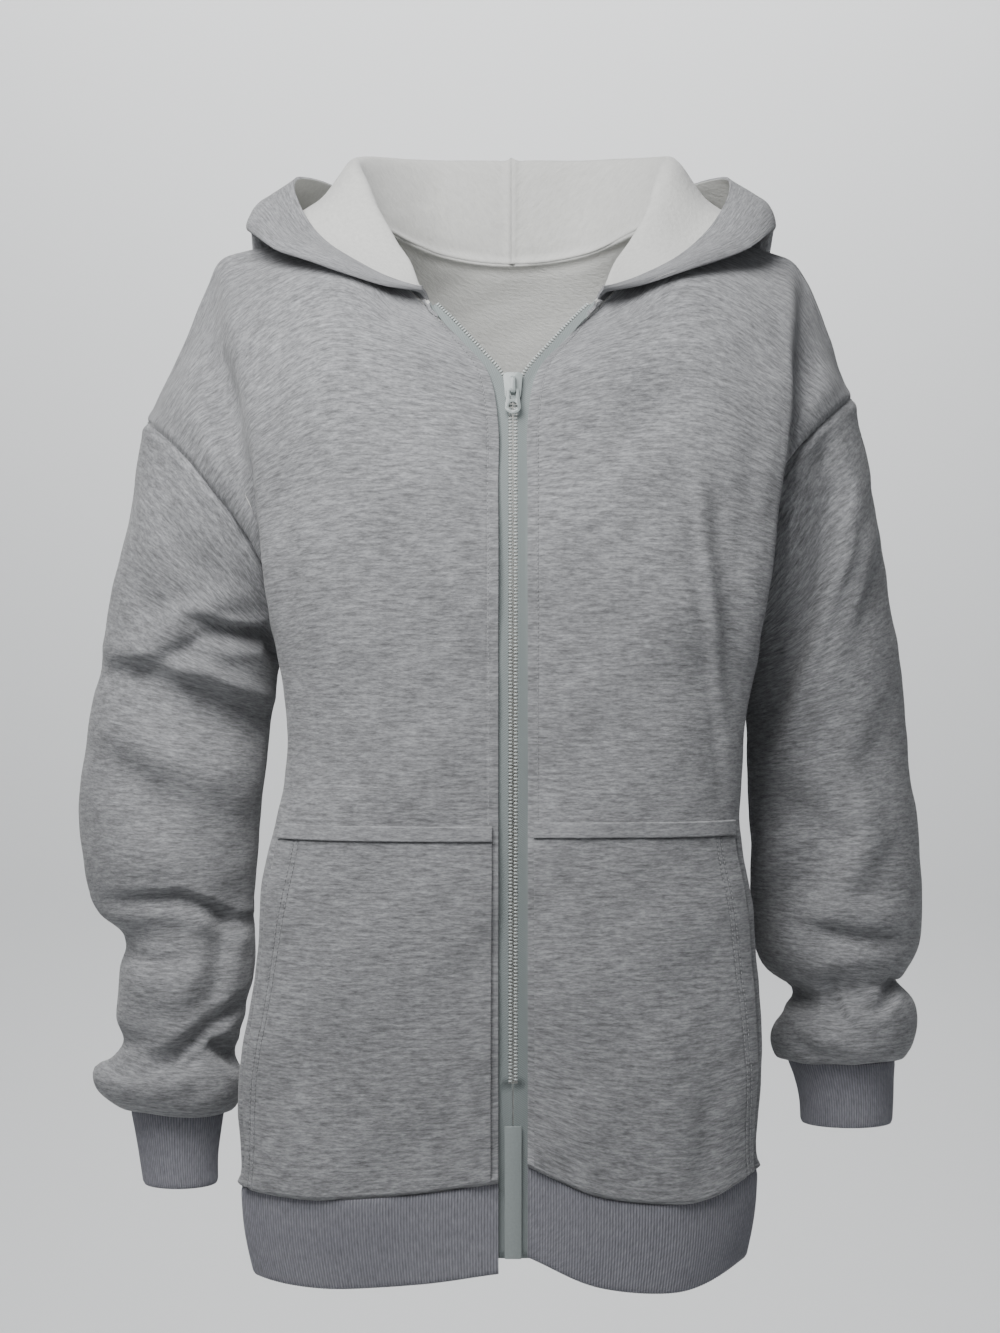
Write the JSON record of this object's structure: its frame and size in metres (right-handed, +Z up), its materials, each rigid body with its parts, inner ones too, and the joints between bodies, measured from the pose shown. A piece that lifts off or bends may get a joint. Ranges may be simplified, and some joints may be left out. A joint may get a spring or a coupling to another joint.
{
  "type": "zip up hoodie",
  "caption": "Long-sleeved hooded zip-front sweatshirt, hollow and worn open at the neck, with patch pockets, ribbed cuffs and waistband and a pull tab that swings.",
  "frame": {"origin": "middle of the open neck at shoulder height, where the neck and shoulders hold the garment", "axes": "+Z up, -Y the front with the zip, +X to the viewer's right seen from the front"},
  "size_m": [0.599, 0.3296, 0.7931],
  "materials": {
    "fleece": "grey marl sweatshirt fleece",
    "rib": "fine grey rib knit",
    "tape": "woven zip tape",
    "teeth": "moulded zip teeth",
    "slider": "pale grey paint"
  },
  "bodies": {
    "garment": {"front_left": "fleece", "front_right": "fleece", "back": "fleece", "sleeve_left": "fleece", "cuff_left": "rib", "hood_left": "fleece", "sleeve_right": "fleece", "cuff_right": "rib", "hood_right": "fleece", "waistband": "rib", "pocket_left": "fleece", "pocket_welt_left": "fleece", "pocket_right": "fleece", "pocket_welt_right": "fleece", "zip_tape_left": "tape", "zip_teeth_left": "teeth", "zip_tape_right": "tape", "zip_teeth_right": "teeth", "zip_pin": "teeth", "zip_slider": "slider"},
    "pull": {"zip_pull": "slider"}
  },
  "joints": [
    {"name": "pull_swing", "type": "hinge", "parent": "garment", "child": "pull", "pos_m": [0, -0.1144, -0.10081], "axis": [-1, 0, 0], "range_deg": [0, 145]}
  ]
}
